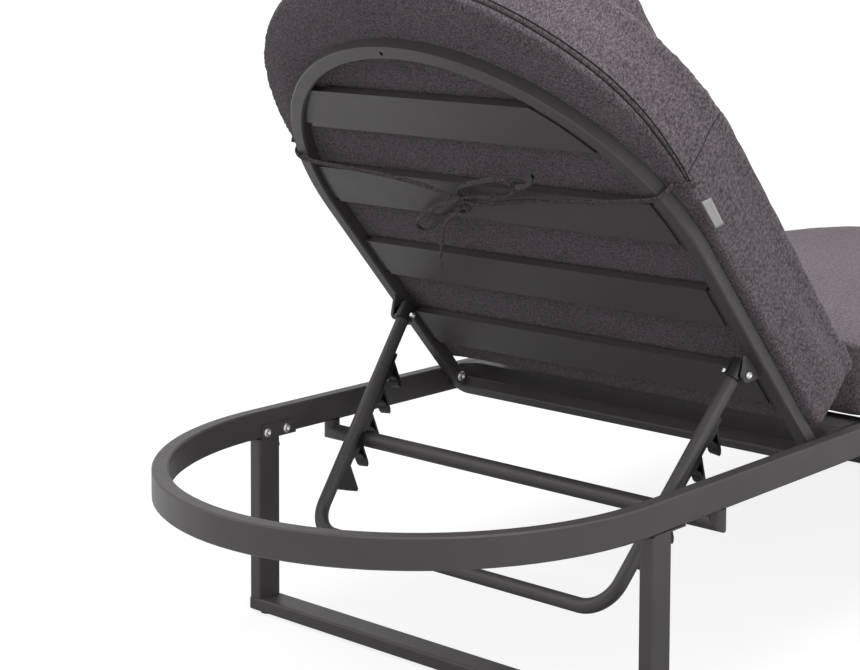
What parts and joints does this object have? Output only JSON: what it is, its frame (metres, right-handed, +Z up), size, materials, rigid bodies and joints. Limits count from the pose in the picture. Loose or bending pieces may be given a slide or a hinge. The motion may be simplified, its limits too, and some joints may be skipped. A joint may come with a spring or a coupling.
{
  "type": "sun lounger",
  "caption": "Cushioned outdoor sun lounger with a round-ended tube frame, slatted reclining backrest, and a swinging prop with toothed racks on a catch bar.",
  "frame": {"origin": "on the ground, at the middle of the footprint's length and width", "axes": "+Y along the lounger towards the head end, +Z up, +X across it"},
  "size_m": [0.7, 1.95, 0.9571],
  "materials": {
    "frame": "satin anthracite powder coat",
    "fasteners": "brushed",
    "rubber": "matte",
    "black_plastic": "matte",
    "cushion_fabric": "grey melange weave"
  },
  "bodies": {
    "base": {"base_hoop": "frame", "seat_cross_tube": "frame", "seat_slat_1": "frame", "seat_slat_2": "frame", "seat_slat_3": "frame", "seat_slat_4": "frame", "seat_slat_5": "frame", "seat_slat_6": "frame", "seat_slat_7": "frame", "leg_post_head_left": "frame", "leg_post_head_right": "frame", "leg_post_foot_left": "frame", "leg_post_foot_right": "frame", "floor_bar_head": "frame", "floor_bar_foot": "frame", "leg_plate_head_left": "frame", "leg_plate_head_right": "frame", "leg_plate_foot_left": "frame", "leg_plate_foot_right": "frame", "plate_screws": "fasteners", "post_bumpers": "rubber", "floor_glides": "rubber", "catch_bar": "frame", "catch_bar_elbow_left": "frame", "catch_bar_elbow_right": "frame", "pivot_bolts": "fasteners", "pivot_washers": "fasteners", "seat_cushion": "cushion_fabric"},
    "backrest": {"back_hoop": "frame", "back_slat_1": "frame", "back_slat_2": "frame", "back_slat_3": "frame", "back_slat_4": "frame", "prop_lug_left": "frame", "prop_lug_right": "frame", "back_cushion": "cushion_fabric", "head_pillow": "cushion_fabric", "tie_knot": "cushion_fabric", "tie_band_right": "cushion_fabric", "tie_band_left": "cushion_fabric", "tie_loop_upper": "cushion_fabric", "tie_loop_lower": "cushion_fabric", "tie_tail_upper": "cushion_fabric", "tie_tail_hanging": "cushion_fabric"},
    "prop": {"prop_tube": "frame", "prop_sleeve_left": "black_plastic", "prop_sleeve_right": "black_plastic", "prop_bolts": "fasteners", "prop_washers": "black_plastic", "prop_nuts": "fasteners", "rack_left": "black_plastic", "rack_right": "black_plastic"}
  },
  "joints": [
    {"name": "backrest_recline", "type": "hinge", "parent": "base", "child": "backrest", "pos_m": [0, 0.24, 0.274], "axis": [1, 0, 0], "range_deg": [0, 14]},
    {"name": "prop_swing", "type": "hinge", "parent": "backrest", "child": "prop", "pos_m": [0, 0.37733, 0.39113], "axis": [1, 0, 0], "range_deg": [0, 5.6]}
  ],
  "couplings": [
    {"joint": "prop_swing", "follows": "backrest_recline", "ratio": 0.4}
  ]
}
